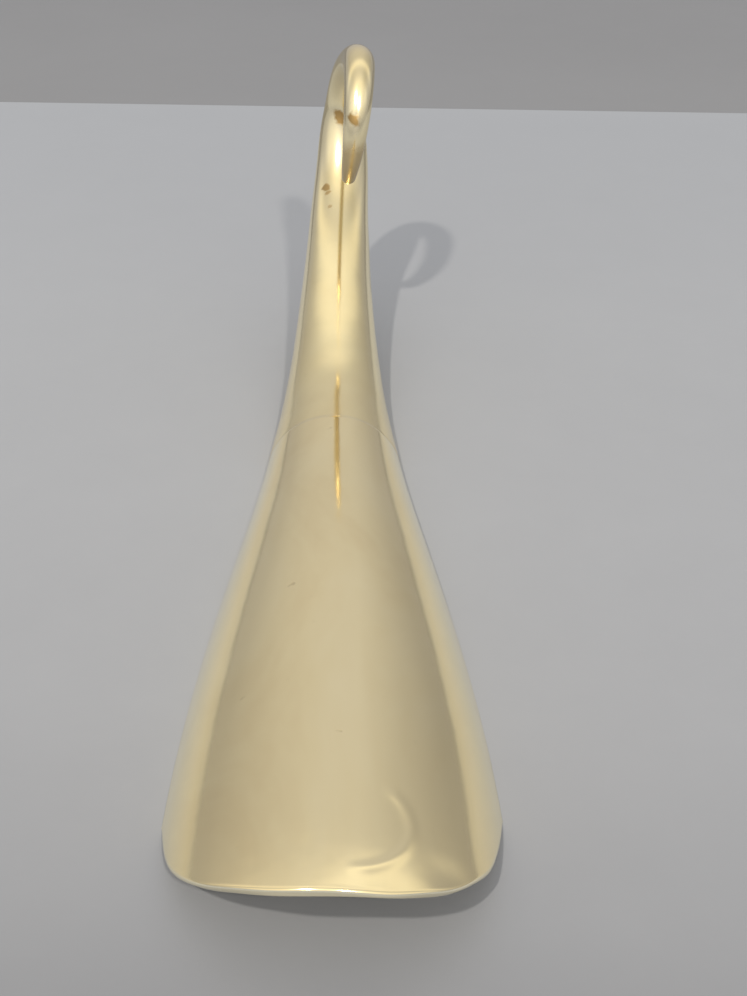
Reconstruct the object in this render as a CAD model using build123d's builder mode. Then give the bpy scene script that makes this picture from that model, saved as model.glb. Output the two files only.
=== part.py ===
from build123d import *
import os
from math import cos, sin, sqrt, radians

# Brass shoehorn with a curled hook handle, lying convex side up on a table.
# Millimetres.  +Z is up, the lip of the blade points to -Y and the hook is at +Y.
# The origin is the middle of the footprint, on the table plane.

# ---------------------------------------------------------------- dimensions
TOTAL_LENGTH = 186.994     # sets where the middle of the footprint falls
HALF_LENGTH = TOTAL_LENGTH / 2
LIP_WALL = 1.4              # sheet thickness at the lip
LIP_ROUND = 0.45            # rounding of the lip edges
NECK_END = 108.4            # the blade ends here, measured from the lip
SEAM_GAP = 0.6              # thickness of the brazing filler
SEAM_PROUD = 0.04           # how far the filler stands out of the surface
SPIGOT_D = 6.0              # pin on the stem that locates it in the neck
SPIGOT_LEN = 8.0
SPIGOT_Z = 5.0
BORE_CLEAR = 0.1            # radial clearance, taken up by the filler
SKIRT = 1.0                 # sections run this far below the table, then are cut flat
HOOK_Y = 170.4              # centre of the hook curl, measured from the lip
HOOK_Z = 42.7
HOOK_BEND = 12.68           # bend radius of the rod centre line

# outside of the dished blade: distance from lip, half width on the table, crest
BLADE = [
    (-8.0, 22.88, 13.28),
    (0.0, 22.92, 13.66),
    (10.0, 22.94, 13.93),
    (20.0, 22.80, 14.06),
    (30.0, 22.36, 14.15),
    (40.0, 21.61, 14.17),
    (50.0, 20.59, 13.96),
    (60.0, 19.35, 13.56),
    (70.0, 17.95, 12.99),
    (80.0, 16.42, 12.31),
    (88.0, 15.14, 11.72),
    (96.0, 13.90, 11.18),
    (102.0, 13.05, 10.90),
    (NECK_END, 12.22, 10.76),
]

# wall thickness of the dish: it runs out into the solid neck
WALL = [
    (-10.0, 1.40),
    (0.0, LIP_WALL),
    (15.0, 1.40),
    (30.0, 1.42),
    (45.0, 1.46),
    (60.0, 1.55),
    (72.0, 1.75),
    (80.0, 2.20),
    (86.0, 3.10),
    (91.0, 4.60),
    (95.0, 6.60),
    (98.0, 8.60),
]

# plan outline of the lip, cut by hand and a little fuller on the right:
# distance from the axis, from the lip
LIP_RIGHT = [
    (0.0, 0.0),
    (4.0, 0.03),
    (8.0, 0.45),
    (12.0, 1.70),
    (15.6, 3.90),
    (18.6, 7.40),
    (20.2, 10.15),
    (21.4, 13.60),
    (22.3, 17.20),
    (23.2, 22.00),
]
LIP_LEFT = [
    (4.0, 0.30),
    (8.0, 1.15),
    (12.0, 2.80),
    (15.6, 5.00),
    (18.1, 7.50),
    (20.0, 10.30),
    (21.4, 13.50),
    (22.3, 16.90),
    (23.2, 21.80),
]

# solid stem: distance from lip, centre height, tilt, half width, top, belly, lean
STEM = [
    (119.0, 0.43, 6.0, 10.89, 10.71, 1.43, 0.03),
    (127.0, 2.51, 14.0, 9.82, 9.82, 3.35, 0.11),
    (134.4, 5.04, 19.0, 8.95, 8.95, 5.5, 0.22),
    (141.9, 7.99, 23.0, 8.22, 8.22, 7.1, 0.35),
    (149.2, 11.14, 24.0, 7.59, 7.59, 7.2, 0.51),
    (156.1, 14.19, 24.8, 7.08, 7.08, 6.9, 0.71),
    (162.9, 17.55, 28.2, 6.66, 6.59, 6.5, 0.96),
    (169.0, 21.35, 34.1, 6.3, 6.1, 6.1, 1.23),
    (174.3, 25.78, 42.5, 5.92, 5.57, 5.57, 1.62),
    (178.8, 31.17, 55.0, 5.52, 5.0, 4.97, 2.1),
    (181.9, 37.35, 72.5, 4.82, 4.4, 4.33, 2.3),
]

# curled rod: angle from the bottom of the curl, sideways lean, rod radius
HOOK = [
    (90.0, 2.5, 3.9),
    (112.0, 3.0, 3.44),
    (135.0, 3.85, 3.18),
    (158.0, 5.1, 3.12),
    (180.0, 5.75, 3.12),
    (202.0, 5.78, 3.02),
    (224.0, 5.55, 2.84),
    (246.0, 5.1, 2.56),
    (268.0, 4.5, 2.2),
    (288.0, 3.9, 1.82),
    (305.0, 3.4, 1.42),
]

os.makedirs("parts", exist_ok=True)


def at(y, z=0.0, tilt=0.0, x=0.0):
    """Section plane across the piece, y from the lip, local y pointing up."""
    return Plane(
        origin=(x, y - HALF_LENGTH, z),
        x_dir=(-1, 0, 0),
        z_dir=(0, cos(radians(tilt)), sin(radians(tilt))),
    )


def table(rows, y, column):
    """Straight-line reading of a table at y."""
    for low, high in zip(rows, rows[1:]):
        if low[0] <= y <= high[0]:
            share = (y - low[0]) / (high[0] - low[0])
            return low[column] + share * (high[column] - low[column])
    return rows[0][column] if y < rows[0][0] else rows[-1][column]


def dish(y, wall=0.0, low=SKIRT):
    """Half width `low` under the table, and crest, of the arch `wall` inside the skin."""
    half, crest = table(BLADE, y, 1), table(BLADE, y, 2)
    radius = (half * half + crest * crest) / (2 * crest)
    drop = crest - radius
    return sqrt((radius - wall) ** 2 - (drop + low) ** 2), crest - wall


# ------------------------------------------------------------------- blade
with BuildPart() as blade:
    # outside of the dish, arch sections reaching just below the table plane
    for y, _, _ in BLADE:
        half, crest = dish(y)
        with BuildSketch(at(y)):
            with BuildLine():
                ThreePointArc((half, -SKIRT), (0, crest), (-half, -SKIRT))
                Line((-half, -SKIRT), (half, -SKIRT))
            make_face()
    loft()

    # hollow underside, fading out before the neck
    with BuildPart(mode=Mode.PRIVATE) as hollow:
        for y, wall in WALL:
            half, crest = dish(y, wall)
            with BuildSketch(at(y)):
                with BuildLine():
                    ThreePointArc((half, -SKIRT), (0, crest), (-half, -SKIRT))
                    Line((-half, -SKIRT), (half, -SKIRT))
                make_face()
        loft()
    add(hollow.part, mode=Mode.SUBTRACT)

    # rounded plan outline of the lip
    with BuildSketch(Plane.XY.offset(-2)):
        with BuildLine():
            right = [(x, y - HALF_LENGTH) for x, y in LIP_RIGHT]
            left = [(-x, y - HALF_LENGTH) for x, y in reversed(LIP_LEFT)]
            tip = Spline(*(left + right))
            Polyline(
                tip @ 1,
                (23.2, NECK_END - HALF_LENGTH),
                (-23.2, NECK_END - HALF_LENGTH),
                tip @ 0,
            )
        make_face()
    extrude(amount=20, mode=Mode.INTERSECT)

    # the cut edge of the lip is rounded over, outside and inside
    lip_face = blade.faces().sort_by(Axis.Y)[0]
    lip_edges = [e for e in lip_face.edges() if abs((e @ 0).X - (e @ 1).X) > 20]
    fillet(lip_edges, LIP_ROUND)

    # the side edges and the underside of the neck are cut flat, to lie on a table
    with Locations((0, 0, -10)):
        Box(60, 2 * TOTAL_LENGTH, 20, mode=Mode.SUBTRACT)

    # bore in the neck for the pin of the stem
    with BuildSketch(at(NECK_END)):
        with Locations((0, SPIGOT_Z)):
            Circle(SPIGOT_D / 2 + BORE_CLEAR)
    extrude(amount=-(SPIGOT_LEN + 0.2), mode=Mode.SUBTRACT)

blade.part.label = "blade"
export_step(blade.part, "parts/blade.step")

# -------------------------------------------------------------- braze seam
with BuildPart() as braze_seam:
    half, crest = table(BLADE, NECK_END, 1), table(BLADE, NECK_END, 2)
    with BuildSketch(at(NECK_END)):
        with BuildLine():
            ThreePointArc(
                (half + SEAM_PROUD, 0), (0, crest + SEAM_PROUD), (-half - SEAM_PROUD, 0)
            )
            Line((-half - SEAM_PROUD, 0), (half + SEAM_PROUD, 0))
        make_face()
        with Locations((0, SPIGOT_Z)):
            Circle(SPIGOT_D / 2, mode=Mode.SUBTRACT)
    extrude(amount=SEAM_GAP)

braze_seam.part.label = "braze_seam"
export_step(braze_seam.part, "parts/braze_seam.step")

# --------------------------------------------------------------- hook stem
with BuildPart() as hook_stem:
    stem_start = NECK_END + SEAM_GAP
    # joint face, same arch as the end of the blade
    half, crest = dish(NECK_END)
    with BuildSketch(at(stem_start)):
        with BuildLine():
            ThreePointArc((half, -SKIRT), (0, crest), (-half, -SKIRT))
            Spline(*[(half * (i / 4 - 1), -SKIRT) for i in range(9)])
        make_face()
    # stem leaving the table, flat belly turning round
    for y, z, tilt, wide, top, belly, lean in STEM:
        with BuildSketch(at(y, z, tilt, lean)):
            with BuildLine():
                ThreePointArc((wide, 0), (0, top), (-wide, 0))
                Spline(
                    *[
                        (-wide * cos(radians(22.5 * i)), -belly * sin(radians(22.5 * i)))
                        for i in range(9)
                    ]
                )
            make_face()
    # curled rod, thinning to a cut end
    for angle, lean, rod in HOOK:
        y = HOOK_Y + HOOK_BEND * sin(radians(angle))
        z = HOOK_Z - HOOK_BEND * cos(radians(angle))
        with BuildSketch(at(y, z, angle, lean)):
            with BuildLine():
                ThreePointArc((rod, 0), (0, rod), (-rod, 0))
                Spline(
                    *[
                        (-rod * cos(radians(22.5 * i)), -rod * sin(radians(22.5 * i)))
                        for i in range(9)
                    ]
                )
            make_face()
    loft()

    # the root of the stem is cut flat on the table plane
    with Locations((0, 0, -10)):
        Box(60, 2 * TOTAL_LENGTH, 20, mode=Mode.SUBTRACT)

    # pin that locates the stem in the neck
    with BuildSketch(at(stem_start)):
        with Locations((0, SPIGOT_Z)):
            Circle(SPIGOT_D / 2)
    extrude(amount=-(SPIGOT_LEN + SEAM_GAP))

hook_stem.part.label = "hook_stem"
export_step(hook_stem.part, "parts/hook_stem.step")
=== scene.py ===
import math

import bmesh
import bpy
import numpy as np
from mathutils import Matrix, Vector


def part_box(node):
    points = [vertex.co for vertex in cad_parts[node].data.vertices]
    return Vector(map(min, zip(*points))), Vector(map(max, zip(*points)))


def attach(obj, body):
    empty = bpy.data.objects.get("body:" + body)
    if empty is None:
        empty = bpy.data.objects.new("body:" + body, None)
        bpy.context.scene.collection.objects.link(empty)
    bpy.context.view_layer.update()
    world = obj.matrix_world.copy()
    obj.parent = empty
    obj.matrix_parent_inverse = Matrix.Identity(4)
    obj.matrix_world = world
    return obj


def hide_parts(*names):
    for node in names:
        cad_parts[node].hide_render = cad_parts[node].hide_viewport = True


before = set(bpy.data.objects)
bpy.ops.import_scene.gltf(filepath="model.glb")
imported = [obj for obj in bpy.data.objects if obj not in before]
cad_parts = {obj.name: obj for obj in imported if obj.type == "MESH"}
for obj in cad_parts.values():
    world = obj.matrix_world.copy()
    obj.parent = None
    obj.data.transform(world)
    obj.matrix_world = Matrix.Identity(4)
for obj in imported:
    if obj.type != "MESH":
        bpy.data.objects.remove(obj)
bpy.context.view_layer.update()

MM = 0.001
NECK = 108.4                                  # end of the blade, from the lip, in mm
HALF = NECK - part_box("blade")[1].y / MM       # from the lip to the origin

# ------------------------------------------------------------------ shape data
# outside of the blade: distance from the lip, half width on the table, crest
BLADE = np.array([
    (-8.0, 22.88, 13.28), (0.0, 22.92, 13.66), (10.0, 22.94, 13.93), (20.0, 22.80, 14.06),
    (30.0, 22.36, 14.15), (40.0, 21.61, 14.17), (50.0, 20.59, 13.96), (60.0, 19.35, 13.56),
    (70.0, 17.95, 12.99), (80.0, 16.42, 12.31), (88.0, 15.14, 11.72), (96.0, 13.90, 11.18),
    (102.0, 13.05, 10.90), (108.4, 12.22, 10.76)])
WALL = np.array([
    (-10.0, 1.40), (0.0, 1.40), (15.0, 1.40), (30.0, 1.42), (45.0, 1.46), (60.0, 1.55),
    (72.0, 1.75), (80.0, 2.20), (86.0, 3.10), (91.0, 4.60), (95.0, 6.60), (98.0, 8.60)])
LIP_RIGHT = [
    (0.0, 0.0), (4.0, 0.03), (8.0, 0.45), (12.0, 1.70), (15.6, 3.90), (18.6, 7.40),
    (20.2, 10.15), (21.4, 13.60), (22.3, 17.20), (23.2, 22.00)]
LIP_LEFT = [
    (4.0, 0.30), (8.0, 1.15), (12.0, 2.80), (15.6, 5.00), (18.1, 7.50), (20.0, 10.30),
    (21.4, 13.50), (22.3, 16.90), (23.2, 21.80)]
LIP = np.array([(-x, y) for x, y in reversed(LIP_LEFT)] + LIP_RIGHT)
# stem: distance from the lip, centre height, tilt, half width, top, belly, lean
STEM = [
    (109.0, -1.559, 0.0, 12.319, 12.319, 3.0, 0.0),
    (119.0, 0.43, 6.0, 10.89, 10.71, 1.43, 0.03),
    (127.0, 2.51, 14.0, 9.82, 9.82, 3.35, 0.11),
    (134.4, 5.04, 19.0, 8.95, 8.95, 5.5, 0.22),
    (141.9, 7.99, 23.0, 8.22, 8.22, 7.1, 0.35),
    (149.2, 11.14, 24.0, 7.59, 7.59, 7.2, 0.51),
    (156.1, 14.19, 24.8, 7.08, 7.08, 6.9, 0.71),
    (162.9, 17.55, 28.2, 6.66, 6.59, 6.5, 0.96),
    (169.0, 21.35, 34.1, 6.3, 6.1, 6.1, 1.23),
    (174.3, 25.78, 42.5, 5.92, 5.57, 5.57, 1.62),
    (178.8, 31.17, 55.0, 5.52, 5.0, 4.97, 2.1),
    (181.9, 37.35, 72.5, 4.82, 4.4, 4.33, 2.3)]
HOOK = [
    (90.0, 2.5, 3.9), (112.0, 3.0, 3.44), (135.0, 3.85, 3.18), (158.0, 5.1, 3.12),
    (180.0, 5.75, 3.12), (202.0, 5.78, 3.02), (224.0, 5.55, 2.84), (246.0, 5.1, 2.56),
    (268.0, 4.5, 2.2), (288.0, 3.9, 1.82), (305.0, 3.4, 1.42)]
for angle, lean, rod in HOOK:
    a = math.radians(angle)
    STEM.append((170.4 + 12.68 * math.sin(a), 42.7 - 12.68 * math.cos(a), angle, rod, rod, rod, lean))
STEM = np.array(STEM)


class Smooth:
    """Natural cubic spline through a table."""

    def __init__(self, x, y):
        x, y = np.asarray(x, float), np.asarray(y, float)
        n, h = len(x), np.diff(x)
        m = np.eye(n)
        r = np.zeros(n)
        for i in range(1, n - 1):
            m[i, i - 1], m[i, i], m[i, i + 1] = h[i - 1], 2 * (h[i - 1] + h[i]), h[i]
            r[i] = 6 * ((y[i + 1] - y[i]) / h[i] - (y[i] - y[i - 1]) / h[i - 1])
        self.x, self.y, self.h, self.m = x, y, h, np.linalg.solve(m, r)

    def __call__(self, q):
        q = np.asarray(q, float)
        i = np.clip(np.searchsorted(self.x, q) - 1, 0, len(self.h) - 1)
        h, a, b = self.h[i], self.x[i + 1] - q, q - self.x[i]
        return (self.m[i] * a ** 3 + self.m[i + 1] * b ** 3) / (6 * h) \
            + (self.y[i] / h - self.m[i] * h / 6) * a + (self.y[i + 1] / h - self.m[i + 1] * h / 6) * b


half_of = Smooth(BLADE[:, 0], BLADE[:, 1])
crest_of = Smooth(BLADE[:, 0], BLADE[:, 2])
wall_of = Smooth(WALL[:, 0], WALL[:, 1])


def arch(y, u, wall=0.0):
    """Point of the arch at y, u from -1 to 1 across it, `wall` inside the skin."""
    h, c = half_of(y), crest_of(y)
    r = (h * h + c * c) / (2 * c)
    d = c - r
    q = r - wall
    t = u * np.arccos(np.clip(-d / q, -1, 1))
    return np.stack([q * np.sin(t), y + 0 * t, np.maximum(d + q * np.cos(t), 0)], -1)


def lip_line(inside):
    """Plan outline of the lip, moved `inside` mm into the blade, as y of x."""
    s = Smooth(LIP[:, 0], LIP[:, 1])
    x = np.linspace(-23.2, 23.2, 1201)
    y = s(x)
    g = np.gradient(y, x)
    n = np.sqrt(1 + g * g)
    xi, yi = x - inside * g / n, y + inside / n
    return lambda q: np.interp(q, xi, yi)


def lip_start(u, inside):
    line, y = lip_line(inside), np.zeros_like(u)
    for _ in range(60):
        y = 0.5 * y + 0.5 * line(arch(y, u)[:, 0])
    return y


def waves(p, seed, amount, length):
    """Smooth hand-finished unevenness, in mm, at points p."""
    rng = np.random.default_rng(seed)
    out = np.zeros(len(p))
    for _ in range(14):
        d = rng.normal(size=3) * np.array([1.0, 0.7, 0.6])
        d /= np.linalg.norm(d)
        w = length * rng.uniform(0.6, 1.8)
        out += np.sin(p @ d * 2 * math.pi / w + rng.uniform(0, 6.28)) * rng.uniform(0.5, 1.0)
    return out * amount / 3.0


class Build:
    """Collects vertices and faces, then makes one clean closed mesh."""

    def __init__(self):
        self.v, self.f = [], []

    def add(self, points):
        start = len(self.v)
        self.v.extend(np.asarray(points, float).reshape(-1, 3).tolist())
        return np.arange(start, len(self.v))

    def grid(self, ids, closed=False):
        rows, cols = ids.shape
        for i in range(rows - 1):
            for j in range(cols if closed else cols - 1):
                k = (j + 1) % cols
                self.f.append((ids[i, j], ids[i, k], ids[i + 1, k], ids[i + 1, j]))

    def make(self, name, fills=(), bevel=0.0, sharp=35.0):
        mesh = bpy.data.meshes.new(name)
        co = np.array(self.v)
        co[:, 2] = np.maximum(co[:, 2], 0)
        co[:, 1] -= HALF
        co *= MM
        bm = bmesh.new()
        vs = [bm.verts.new(c) for c in co]
        for f in self.f:
            ring = []
            for i in f:
                if not ring or ring[-1] != i:
                    ring.append(i)
            if len(set(ring)) >= 3:
                try:
                    bm.faces.new([vs[i] for i in ring])
                except ValueError:
                    pass
        for loops in fills:
            edges = []
            for loop in loops:
                kept = []
                for i in loop:
                    if not kept or (vs[i].co - vs[kept[-1]].co).length > 1e-6:
                        kept.append(i)
                if (vs[kept[0]].co - vs[kept[-1]].co).length < 1e-6:
                    kept.pop()
                for a, b in zip(kept, kept[1:] + kept[:1]):
                    e = bm.edges.get((vs[a], vs[b])) or bm.edges.new((vs[a], vs[b]))
                    edges.append(e)
            bmesh.ops.triangle_fill(bm, use_beauty=True, use_dissolve=False, edges=edges)
        bmesh.ops.remove_doubles(bm, verts=bm.verts[:], dist=2e-6)
        bmesh.ops.dissolve_degenerate(bm, dist=1e-6, edges=bm.edges[:])
        bmesh.ops.recalc_face_normals(bm, faces=bm.faces[:])
        if bevel:
            edges = [e for e in bm.edges if len(e.link_faces) == 2 and e.calc_face_angle(0) > math.radians(48)]
            bmesh.ops.bevel(bm, geom=edges, offset=bevel * MM, segments=2, profile=0.5,
                            affect="EDGES", clamp_overlap=True)
            bmesh.ops.remove_doubles(bm, verts=bm.verts[:], dist=2e-6)
            bmesh.ops.dissolve_degenerate(bm, dist=1e-6, edges=bm.edges[:])
        bad = [e for e in bm.edges if len(e.link_faces) != 2]
        print(name, "verts", len(bm.verts), "faces", len(bm.faces), "open edges", len(bad))
        if bm.calc_volume(signed=True) < 0:
            bmesh.ops.reverse_faces(bm, faces=bm.faces[:])
        bm.to_mesh(mesh)
        bm.free()
        mesh.shade_smooth()
        mesh.set_sharp_from_angle(angle=math.radians(sharp))
        obj = bpy.data.objects.new(name, mesh)
        bpy.context.scene.collection.objects.link(obj)
        return obj


def circle(y, radius, z, n=56, x=0.0):
    a = np.linspace(0, 2 * math.pi, n, endpoint=False)
    return np.stack([x + radius * np.cos(a), np.full(n, y), z + radius * np.sin(a)], -1)


# ------------------------------------------------------------------------ blade
def make_blade():
    b = Build()
    nu, na, nb = 177, 242, 26
    t = np.linspace(-1, 1, nu)
    u = 0.55 * t + 0.45 * np.sin(t * math.pi / 2)
    y_in, y_out = lip_start(u, 0.5), lip_start(u, 0.0)
    end = 98.0
    v = np.linspace(0, 1, na) ** 1.08
    ya = y_in[None, :] + (end - y_in[None, :]) * v[:, None]
    yb = np.repeat(np.linspace(end, NECK, nb)[1:, None], nu, 1)
    uu = np.repeat(u[None, :], na + nb - 1, 0)
    yy = np.vstack([ya, yb])
    outer = arch(yy, uu)
    inner = arch(ya, uu[:na], wall_of(ya))

    # hand-finished unevenness of the outside, fading out at the edges
    def normals(p):
        du, dv = np.gradient(p, axis=1), np.gradient(p, axis=0)
        n = np.cross(du, dv)
        n /= np.linalg.norm(n, axis=-1, keepdims=True) + 1e-12
        n *= np.where(n[..., 2:3] < 0, -1, 1)
        return n

    n = normals(outer)
    flat = outer.reshape(-1, 3)
    lift = shape_blade(flat).reshape(outer.shape[:2])
    fade = np.clip((1 - np.abs(uu)) / 0.10, 0, 1)
    fade = fade * fade * (3 - 2 * fade)
    outer = outer + n * (lift * fade)[..., None]

    io = b.add(outer).reshape(outer.shape[:2])
    ii = b.add(inner).reshape(inner.shape[:2])
    b.grid(io)
    b.grid(ii)

    # rounded lip between the outside and the inside
    start, tip, last = outer[0], arch(y_out, u), inner[0]
    depth = last - start
    wall = np.linalg.norm(depth, axis=1, keepdims=True)
    nd = depth / wall
    along = np.gradient(start, axis=0)
    along /= np.linalg.norm(along, axis=1, keepdims=True)
    out = tip - arch(y_in, u)
    out -= nd * (out * nd).sum(1, keepdims=True)
    out -= along * (out * along).sum(1, keepdims=True)
    far = np.linalg.norm(out, axis=1, keepdims=True)
    out *= np.minimum(1, 0.62 / np.maximum(far, 1e-6))
    rows = [io[0]]
    r = 0.5
    for k in range(1, 8):
        a = math.pi / 2 * k / 7
        rows.append(b.add(start + out * math.sin(a) + nd * r * (1 - math.cos(a))))
    for k in range(1, 3):
        rows.append(b.add(start + out + nd * (r + (wall - 2 * r) * k / 3)))
    for k in range(7, 0, -1):
        a = math.pi / 2 * k / 7
        rows.append(b.add(last + out * math.sin(a) - nd * r * (1 - math.cos(a))))
    rows.append(ii[0])
    rows = np.array(rows)
    b.grid(rows)

    # flat side edges on the table, closed hollow and underside of the neck
    for j in (0, -1):
        b.f.append([io[1, j], *rows[:, j], ii[1, j]])
        for i in range(1, na - 1):
            b.f.append((io[i, j], io[i + 1, j], ii[i + 1, j], ii[i, j]))
    b.f.append(list(ii[na - 1]))
    b.f.append([*io[na - 1:, 0], *io[na - 1:, -1][::-1], ii[na - 1, -1], ii[na - 1, 0]])

    # joint face with the bore for the pin
    ring = b.add(circle(NECK, 3.1, 5.0))
    deep = b.add(circle(NECK - 8.2, 3.1, 5.0))
    b.grid(np.array([ring, deep]), closed=True)
    b.f.append(list(deep))
    return b.make("blade_skin", fills=[(list(io[-1]), list(ring))], bevel=0.10)


def shape_blade(p):
    x, y = p[:, 0], p[:, 1]
    # the lip is worked down a little on its right half
    near = np.clip((7.0 - y) / 6.2, 0, 1)
    flare = 0.36 * near ** 2 * np.exp(-((x - 6.2) / 4.8) ** 2)
    # and carries a shallow dent and a curved crease there
    dent = 0.13 * np.exp(-(((x - 14.8) / 3.4) ** 2 + ((y - 4.8) / 2.4) ** 2))
    dx, dy = x - 2.7, y - 10.4
    turn = np.degrees(np.arctan2(dy, dx))
    ends = np.clip((56 - turn) / 14, 0, 1) * np.clip((turn + 98) / 22, 0, 1)
    crease = 0.10 * np.exp(-((np.hypot(dx, dy) - 7.1) / 0.70) ** 2) * ends
    dent = dent - crease
    return waves(p, 3, 0.020, 34.0) + waves(p, 5, 0.006, 12.0) - flare - dent


# ------------------------------------------------------------------------- stem
def make_stem():
    b = Build()
    d = np.r_[0, np.cumsum(np.hypot(np.diff(STEM[:, 0]), np.diff(STEM[:, 1])))]
    cols = [Smooth(d, STEM[:, k]) for k in range(7)]
    s = np.unique(np.r_[np.linspace(0, d[-1], 460)])
    y, z, tilt, wide, top, belly, lean = [c(s) for c in cols]
    z[0], wide[0], top[0] = STEM[0, 1], STEM[0, 3], STEM[0, 4]
    ct, st = np.cos(np.radians(tilt)), np.sin(np.radians(tilt))
    n_top, n_bot = 92, 44
    # corner of each section: where it meets the table, later low on its side
    low = -z / np.maximum(ct, 0.2)
    ratio = np.where(low > 0, low / top, low / np.maximum(belly, 0.3))
    corner = np.arcsin(np.clip(ratio, -1, 1))
    corner = np.where(np.arange(len(s)) * d[-1] / len(s) > 40, -1, corner)
    corner = np.maximum(corner, -math.radians(48))
    ta = np.linspace(0, 1, n_top)
    tb = np.linspace(0, 1, n_bot + 2)[1:-1]
    pa = corner[:, None] + (math.pi - 2 * corner[:, None]) * ta
    pb = (math.pi - corner[:, None]) + (math.pi + 2 * corner[:, None]) * tb
    phi = np.concatenate([pa, pb], 1)
    x = wide[:, None] * np.cos(phi)
    n = np.where(np.sin(phi) > 0, top[:, None], belly[:, None]) * np.sin(phi)
    pz = z[:, None] + n * ct[:, None]
    under = pz < 1e-4
    edge = np.abs(x[:, 0])[:, None]
    x = np.where(under, np.clip(x, -edge, edge), x)
    n = np.where(under, low[:, None], n)
    p = np.stack([x + lean[:, None], y[:, None] - n * st[:, None], z[:, None] + n * ct[:, None]], -1)
    p[..., 2] = np.maximum(p[..., 2], 0)

    # hand-forged unevenness, growing up the stem
    centre = np.stack([lean, y, z], -1)[:, None, :]
    out = p - centre
    size = np.linalg.norm(out, axis=-1, keepdims=True)
    flat = p.reshape(-1, 3)
    lift = shape_stem(flat, np.repeat(s, p.shape[1]), phi.reshape(-1)).reshape(p.shape[:2])
    hold = np.clip(s / 6.0, 0, 1)[:, None] * np.where(p[..., 2] < 0.05, 0, 1)
    p = p + out / size * (lift * hold)[..., None]

    ids = b.add(p).reshape(p.shape[:2])
    b.grid(ids, closed=True)

    # cut end of the rod, with its corner rubbed round
    c = centre[-1, 0]
    t = np.array([0, ct[-1], st[-1]])
    rim = p[-1] - c
    rows = [ids[-1]]
    for k, (grow, shrink) in enumerate([(0.10, 0.985), (0.22, 0.93), (0.30, 0.84), (0.34, 0.70), (0.36, 0.35)]):
        rows.append(b.add(c + rim * shrink + t * grow))
    b.grid(np.array(rows), closed=True)
    b.f.append(list(rows[-1]))

    # joint face and pin
    ring = b.add(circle(p[0, 0, 1], 3.0, 5.0))
    far = b.add(circle(NECK - 7.7, 3.0, 5.0))
    nose = b.add(circle(NECK - 8.0, 2.7, 5.0))
    b.grid(np.array([ring, far, nose]), closed=True)
    b.f.append(list(nose))
    return b.make("hook_stem_skin", fills=[(list(ids[0]), list(ring))], bevel=0.10)


def shape_stem(p, s, phi):
    # the crown dips slightly where the stem leaves the blade
    dip = 0.30 * np.exp(-((p[:, 1] - 121.5) / 6.0) ** 2) * np.clip(np.sin(phi), 0, 1) ** 2
    return waves(p, 11, 0.030, 22.0) + waves(p, 12, 0.010, 8.0) - dip


# ------------------------------------------------------------------------- seam
def make_seam():
    b = Build()
    u = np.linspace(-1, 1, 121)
    rows = []
    for step, proud in [(0.0, 0.0), (0.08, 0.006), (0.2, 0.011), (0.3, 0.012), (0.4, 0.011), (0.52, 0.006), (0.6, 0.0)]:
        h, c = BLADE[-1, 1] + proud, BLADE[-1, 2] + proud
        r = (h * h + c * c) / (2 * c)
        k = c - r
        t = u * math.acos(-k / r)
        rows.append(b.add(np.stack([r * np.sin(t), np.full(len(t), NECK + step), np.maximum(k + r * np.cos(t), 0)], -1)))
    rows = np.array(rows)
    b.grid(rows)
    b.f.append([*rows[:, 0], *rows[:, -1][::-1]])
    front, back = b.add(circle(NECK, 3.0, 5.0)), b.add(circle(NECK + 0.6, 3.0, 5.0))
    b.grid(np.array([front, back]), closed=True)
    return b.make("braze_seam_skin", fills=[(list(rows[0]), list(front)), (list(rows[-1]), list(back))])


# -------------------------------------------------------------------- materials
def node(tree, kind, **values):
    n = tree.nodes.new(kind)
    for k, v in values.items():
        if k.startswith("in_"):
            n.inputs[k[3:].replace("_", " ")].default_value = v
        else:
            setattr(n, k, v)
    return n


def ramp(tree, source, stops, name="ramp"):
    r = tree.nodes.new("ShaderNodeValToRGB")
    while len(r.color_ramp.elements) < len(stops):
        r.color_ramp.elements.new(0.5)
    for e, (at, c) in zip(r.color_ramp.elements, stops):
        e.position = at
        e.color = c if len(c) == 4 else (*c, 1)
    tree.links.new(source, r.inputs["Fac"])
    return r.outputs["Color"]


def mix(tree, fac, a, b, blend="MIX"):
    m = node(tree, "ShaderNodeMix", data_type="RGBA", blend_type=blend)
    for key, val in ((0, fac), (6, a), (7, b)):
        if isinstance(val, bpy.types.NodeSocket):
            tree.links.new(val, m.inputs[key])
        else:
            m.inputs[key].default_value = val if key == 0 else (*val, 1)
    return m.outputs[2]


def math_node(tree, op, a, b=None, clamp=False):
    m = node(tree, "ShaderNodeMath", operation=op, use_clamp=clamp)
    for key, val in ((0, a), (1, b)):
        if val is None:
            continue
        if isinstance(val, bpy.types.NodeSocket):
            tree.links.new(val, m.inputs[key])
        else:
            m.inputs[key].default_value = val
    return m.outputs[0]


def node_colour(tree, where, scale):
    n = node(tree, "ShaderNodeTexNoise", in_Scale=scale, in_Detail=3.0, in_Roughness=0.6)
    tree.links.new(where, n.inputs["Vector"])
    return n.outputs["Color"]


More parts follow.
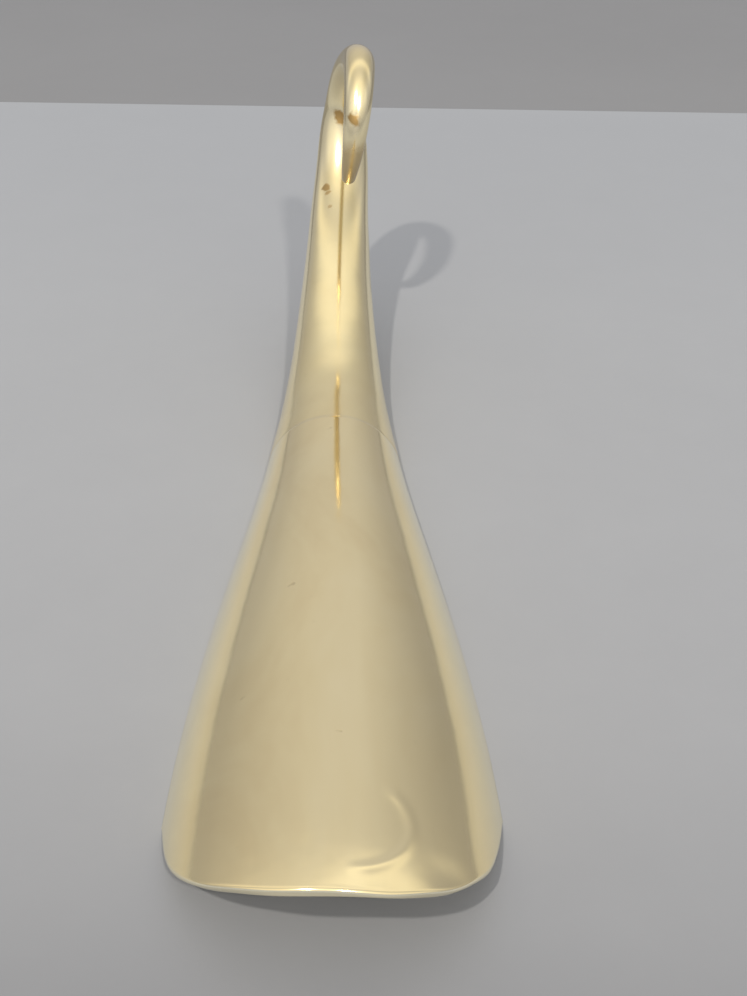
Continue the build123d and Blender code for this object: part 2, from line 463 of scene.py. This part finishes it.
def brass(name, light, mid, dull, rough_low, rough_high, side_sheen=0.0, painted_reflection_blots=()):
    m = bpy.data.materials.new(name)
    m.use_nodes = True
    t = m.node_tree
    bsdf = t.nodes["Principled BSDF"]
    bsdf.inputs["Metallic"].default_value = 1.0
    where = t.nodes.new("ShaderNodeTexCoord").outputs["Object"]

    def noise(scale, detail=3.0, rough=0.55, stretch=(1, 1, 1), distort=0.0):
        mp = node(t, "ShaderNodeMapping")
        mp.inputs["Scale"].default_value = stretch
        t.links.new(where, mp.inputs["Vector"])
        n = node(t, "ShaderNodeTexNoise", in_Scale=scale, in_Detail=detail, in_Roughness=rough, in_Distortion=distort)
        t.links.new(mp.outputs["Vector"], n.inputs["Vector"])
        return n.outputs["Fac"]

    # broad handling patina, then small tarnish freckles, then fine haze
    broad = noise(38.0, 4.0, 0.6, (1, 0.6, 1), 0.6)
    patchy = ramp(t, broad, [(0.30, dull), (0.48, mid), (0.70, light)])
    freckle = noise(420.0, 2.0, 0.5)
    spots = ramp(t, freckle, [(0.735, (0, 0, 0)), (0.79, (1, 1, 1))])
    colour = mix(t, math_node(t, "MULTIPLY", spots, 0.45), patchy, tuple(0.62 * c for c in dull))
    # sides facing sideways or down get a paler, brighter colour: a painted sheen standing in for their reflection of
    # the table
    face = node(t, "ShaderNodeSeparateXYZ")
    t.links.new(t.nodes.new("ShaderNodeNewGeometry").outputs["Normal"], face.inputs[0])
    side_sheen_mask = ramp(t, face.outputs["Z"], [(0.50, (1, 1, 1)), (0.72, (0, 0, 0))])
    colour = mix(t, math_node(t, "MULTIPLY", side_sheen_mask, side_sheen), colour, (0.985, 0.91, 0.68))
    # brown blots at listed points: painted reflection of dark shapes in front of the hook, the largest darkening its
    # tip
    brown = None
    wander = node(t, "ShaderNodeVectorMath", operation="SCALE")
    t.links.new(node_colour(t, where, 260.0), wander.inputs[0])
    wander.inputs["Scale"].default_value = 0.004
    moved = node(t, "ShaderNodeVectorMath", operation="ADD")
    t.links.new(where, moved.inputs[0])
    t.links.new(wander.outputs["Vector"], moved.inputs[1])
    for centre, radius, amount in painted_reflection_blots:
        d = node(t, "ShaderNodeVectorMath", operation="DISTANCE")
        t.links.new(moved.outputs["Vector"], d.inputs[0])
        d.inputs[1].default_value = [(c + 2.0) * MM for c in centre]
        blot = ramp(t, math_node(t, "MULTIPLY", d.outputs["Value"], 1 / (radius * MM * 2)), [
            (0.30, (amount,) * 3), (0.50, (0, 0, 0))])
        brown = blot if brown is None else mix(t, 1.0, brown, blot, "LIGHTEN")
    if brown is not None:
        colour = mix(t, brown, colour, (0.40, 0.26, 0.10))
    t.links.new(colour, bsdf.inputs["Base Color"])

    # polishing haze: smoother crowns, streaks along the length, duller freckles
    haze = noise(90.0, 5.0, 0.65, (1, 0.25, 1))
    streak = noise(1500.0, 2.0, 0.5, (1, 0.03, 1))
    r = math_node(t, "ADD", math_node(t, "MULTIPLY", haze, rough_high - rough_low), rough_low)
    r = math_node(t, "ADD", r, math_node(t, "MULTIPLY", math_node(t, "SUBTRACT", streak, 0.5), 0.05))
    r = math_node(t, "ADD", r, math_node(t, "MULTIPLY", spots, 0.15), clamp=True)
    if brown is not None:
        r = math_node(t, "ADD", r, math_node(t, "MULTIPLY", brown, 0.22), clamp=True)
    t.links.new(r, bsdf.inputs["Roughness"])

    # hair-line scratches and hammer-soft ripple
    fine = node(t, "ShaderNodeBump", in_Strength=0.06, in_Distance=0.00003)
    t.links.new(streak, fine.inputs["Height"])
    pits = node(t, "ShaderNodeBump", in_Strength=0.25, in_Distance=0.00006)
    pits.invert = True
    t.links.new(spots, pits.inputs["Height"])
    t.links.new(fine.outputs["Normal"], pits.inputs["Normal"])
    soft = node(t, "ShaderNodeBump", in_Strength=0.08, in_Distance=0.0004)
    t.links.new(noise(160.0, 2.0, 0.5), soft.inputs["Height"])
    t.links.new(pits.outputs["Normal"], soft.inputs["Normal"])
    t.links.new(soft.outputs["Normal"], bsdf.inputs["Normal"])
    return m


# the figure after the roughness pair sets how strongly sideways-facing sides get the painted sheen
BRASS = brass("brass", (0.94, 0.79, 0.465), (0.91, 0.75, 0.42), (0.86, 0.69, 0.375), 0.09, 0.17, 0.95)
STEM_BRASS = brass("stem_brass", (0.94, 0.79, 0.45), (0.90, 0.74, 0.405), (0.83, 0.66, 0.35), 0.14, 0.22, 0.35, [
    # blots: painted reflection of dark shapes in front of the hook; the first darkens the tip
    ((3.6, 63.6, 39.0), 6.2, 0.52), ((4.6, 62.9, 49.0), 1.6, 1.0), ((1.8, 84.9, 41.0), 1.6, 1.0),
    ((-1.4, 77.4, 29.4), 1.05, 0.95), ((-1.0, 76.0, 28.5), 0.85, 0.8), ((-0.5, 73.2, 26.7), 0.7, 0.6)])
BRAZE = brass("braze", (0.92, 0.78, 0.46), (0.88, 0.73, 0.42), (0.78, 0.62, 0.35), 0.14, 0.24)

for obj, cad, slot, material in (
        (make_blade(), "blade", "brass", BRASS),
        (make_seam(), "braze_seam", "braze", BRAZE),
        (make_stem(), "hook_stem", "brass", STEM_BRASS)):
    obj.data.materials.append(material)
    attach(obj, "root")
    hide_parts(cad)
for n, m in (("blade", BRASS), ("braze_seam", BRAZE), ("hook_stem", STEM_BRASS)):
    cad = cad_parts[n]
    for s in cad.material_slots:
        s.material = m


# ----------------------------------------------------------------- floor, backdrop
def plain(name, colour, amount=0.06, scale=60.0, rough=0.75, gloss=0.25, painted_light_pool=None):
    m = bpy.data.materials.new(name)
    m.use_nodes = True
    t = m.node_tree
    bsdf = t.nodes["Principled BSDF"]
    bsdf.inputs["Roughness"].default_value = rough
    bsdf.inputs["Specular IOR Level"].default_value = gloss
    n = node(t, "ShaderNodeTexNoise", in_Scale=scale, in_Detail=6.0, in_Roughness=0.7)
    t.links.new(t.nodes.new("ShaderNodeTexCoord").outputs["Object"], n.inputs["Vector"])
    grain = ramp(t, n.outputs["Fac"], [
        (0.25, tuple(c * (1 - amount) for c in colour)), (0.75, tuple(c * (1 + amount) for c in colour))])
    if painted_light_pool:
        # painted pool of light: the floor colour is brightest round the object and darker towards the front; the sheen
        # adds a soft bloom at low angles
        at = node(t, "ShaderNodeSeparateXYZ")
        t.links.new(t.nodes["Texture Coordinate"].outputs["Object"], at.inputs[0])
        y = math_node(t, "MULTIPLY_ADD", math_node(t, "MULTIPLY_ADD", at.outputs["X"], 0.10), 2.0)
        y.node.inputs[2].default_value = 0.5
        t.links.new(at.outputs["Y"], y.node.inputs[0].links[0].from_node.inputs[2])
        grain = mix(t, 1.0, grain, ramp(t, y, [(q * 2 + 0.5, (k, k, k)) for q, k in painted_light_pool]), "MULTIPLY")
        bsdf.inputs["Sheen Weight"].default_value = 1.0
        bsdf.inputs["Sheen Roughness"].default_value = 0.42
        bsdf.inputs["Sheen Tint"].default_value = (0.90, 0.94, 0.98, 1.0)
    t.links.new(grain, bsdf.inputs["Base Color"])
    return m


def slab(name, corners, material):
    mesh = bpy.data.meshes.new(name)
    mesh.from_pydata(corners, [], [tuple(range(len(corners)))])
    mesh.materials.append(material)
    o = bpy.data.objects.new(name, mesh)
    bpy.context.scene.collection.objects.link(o)
    return o


EDGE_L, EDGE_R = 0.223, 0.203        # far edge of the table at x = -0.15 and +0.15
# the last list is the painted pool of light: floor brightness by front-back position
FLOOR = plain("floor", (0.240, 0.245, 0.258), 0.02, 60.0, 0.5, 0.5, [
    (-0.14, 0.66), (-0.10, 0.74), (-0.085, 0.84), (-0.05, 0.96), (0.0, 1.0), (0.08, 0.97), (0.20, 0.80)])
BACK = plain("backdrop", (0.215, 0.217, 0.225), 0.03, 9.0)
gl = (EDGE_R - EDGE_L) / 0.3
mid = (EDGE_L + EDGE_R) / 2
slab("floor", [(-2.0, -2.5, 0), (2.0, -2.5, 0), (2.0, mid + gl * 2.0, 0), (-2.0, mid - gl * 2.0, 0)], FLOOR)
slab("backdrop", [(-4.0, mid - gl * 4.0 - 0.3, -0.04), (4.0, mid + gl * 4.0 - 0.3, -0.04), (4.0, 4.0, -0.04), (-4.0, 4.0, -0.04)], BACK)

# ------------------------------------------------------------------------- light
world = bpy.data.worlds.new("room")
bpy.context.scene.world = world
world.use_nodes = True
wt = world.node_tree
bg = wt.nodes["Background"]
bg.inputs["Strength"].default_value = 1.7
sky = node(wt, "ShaderNodeSeparateXYZ")
wt.links.new(wt.nodes.new("ShaderNodeTexCoord").outputs["Generated"], sky.inputs[0])
GAIN = 1.7
# wall round the room by left-right direction, and the lit ceiling by front-back direction
WALLS = [(-1.0, 0.60), (-0.88, 0.58), (-0.68, 0.545), (-0.53, 0.585), (-0.38, 0.63), (-0.22, 0.66), (0.0, 0.668),
         (0.22, 0.66), (0.38, 0.59), (0.53, 0.51), (0.68, 0.46), (0.88, 0.52), (1.0, 0.55)]
CEILING = [(-1.0, 0.0), (-0.93, 0.0), (-0.86, 0.10), (-0.80, 0.30), (-0.70, 0.48), (-0.50, 0.50), (-0.22, 0.44),
           (-0.14, 0.40), (-0.05, 0.24), (0.02, 0.17), (0.10, 0.11), (0.24, 0.10), (0.31, 0.20), (0.37, 0.38),
           (0.44, 0.47), (0.47, 0.47), (0.50, 0.44), (0.53, 0.36), (0.56, 0.22), (0.588, 0.09), (0.62, 0.02),
           (0.66, 0.0), (1.0, 0.0)]
SHADE = [(-1.0, 0.78), (0.0, 0.78), (0.15, 0.81), (0.25, 0.88), (0.36, 0.94), (0.52, 1.0), (1.0, 1.0)]


def unit(socket):
    m = math_node(wt, "MULTIPLY_ADD", socket, 0.5)
    m.node.inputs[2].default_value = 0.5
    return m


walls = ramp(wt, unit(sky.outputs["X"]), [((q + 1) / 2, tuple(k * c / GAIN for c in (0.985, 1, 1.09))) for q, k in WALLS])
shade = ramp(wt, unit(sky.outputs["Z"]), [((q + 1) / 2, (k, k, k)) for q, k in SHADE])
walls = mix(wt, 1.0, walls, shade, "MULTIPLY")
ceiling = ramp(wt, unit(sky.outputs["Y"]), [((q + 1) / 2, tuple(k * c / GAIN for c in (1, 0.96, 0.78))) for q, k in CEILING])
rise = ramp(wt, unit(sky.outputs["Z"]), [(0.53, (0, 0, 0)), (0.64, (0.45, 0.45, 0.45)), (0.76, (1, 1, 1))])
lit = mix(wt, 1.0, ceiling, rise, "MULTIPLY")
total = mix(wt, 1.0, walls, lit, "ADD")
wt.links.new(total, bg.inputs["Color"])


def lamp(name, where, target, size, power, colour=(1, 1, 1), shape="DISK", size_y=None):
    d = bpy.data.lights.new(name, "AREA")
    d.shape = shape
    d.size = size
    if size_y:
        d.size_y = size_y
    d.energy = power
    d.color = colour
    o = bpy.data.objects.new(name, d)
    o.location = where
    o.rotation_euler = (Vector(target) - Vector(where)).to_track_quat("-Z", "Y").to_euler()
    bpy.context.scene.collection.objects.link(o)
    return o


key = Vector((-0.34, -0.60, 1.0)).normalized()
lamp("key", key * 1.6, (0, 0, 0), 0.06, 14.5, (1.0, 0.94, 0.84))
lamp("second", Vector((0.27, -0.90, 1.0)).normalized() * 1.6, (0, 0, 0), 0.09, 11.5, (1.0, 0.95, 0.86))

# ------------------------------------------------------------------------ camera
cam_data = bpy.data.cameras.new("camera")
cam_data.sensor_width = 36.0
cam_data.lens = 48.795
cam_data.clip_start = 0.01
camera = bpy.data.objects.new("camera", cam_data)
camera.location = (2.83 * MM, -194.3 * MM, 139.0 * MM)
camera.rotation_euler = (math.radians(55.0), 0.0, math.radians(-1.23))
bpy.context.scene.collection.objects.link(camera)
bpy.context.scene.camera = camera

bpy.context.scene.view_settings.view_transform = "Standard"
bpy.context.scene.view_settings.look = "None"
bpy.context.scene.view_settings.exposure = 0.0
